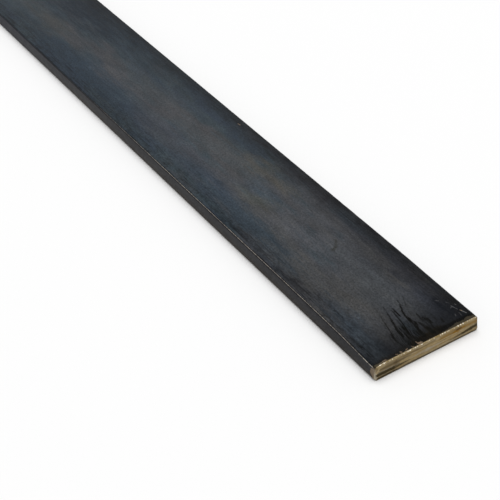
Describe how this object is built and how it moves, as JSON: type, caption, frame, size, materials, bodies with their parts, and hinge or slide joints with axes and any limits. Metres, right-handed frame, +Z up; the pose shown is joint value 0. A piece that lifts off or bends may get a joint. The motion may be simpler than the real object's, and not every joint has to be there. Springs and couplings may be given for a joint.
{
  "type": "steel flat bar",
  "caption": "Straight hot-rolled steel flat bar of rectangular section with small rounded long corners and square sawn, deburred ends; stock for cutting, drilling, welding and framing.",
  "frame": {"origin": "centre of the underside, midway along the bar and across its width", "axes": "+X along the bar, +Y across its width, +Z up through its thickness"},
  "size_m": [1, 0.04, 0.006],
  "materials": {
    "hot_rolled_steel": "blue-grey mill scale on the rolled faces, bare straw-coloured steel on the sawn ends"
  },
  "bodies": {
    "root": {"flat_bar": "hot_rolled_steel"}
  },
  "joints": []
}
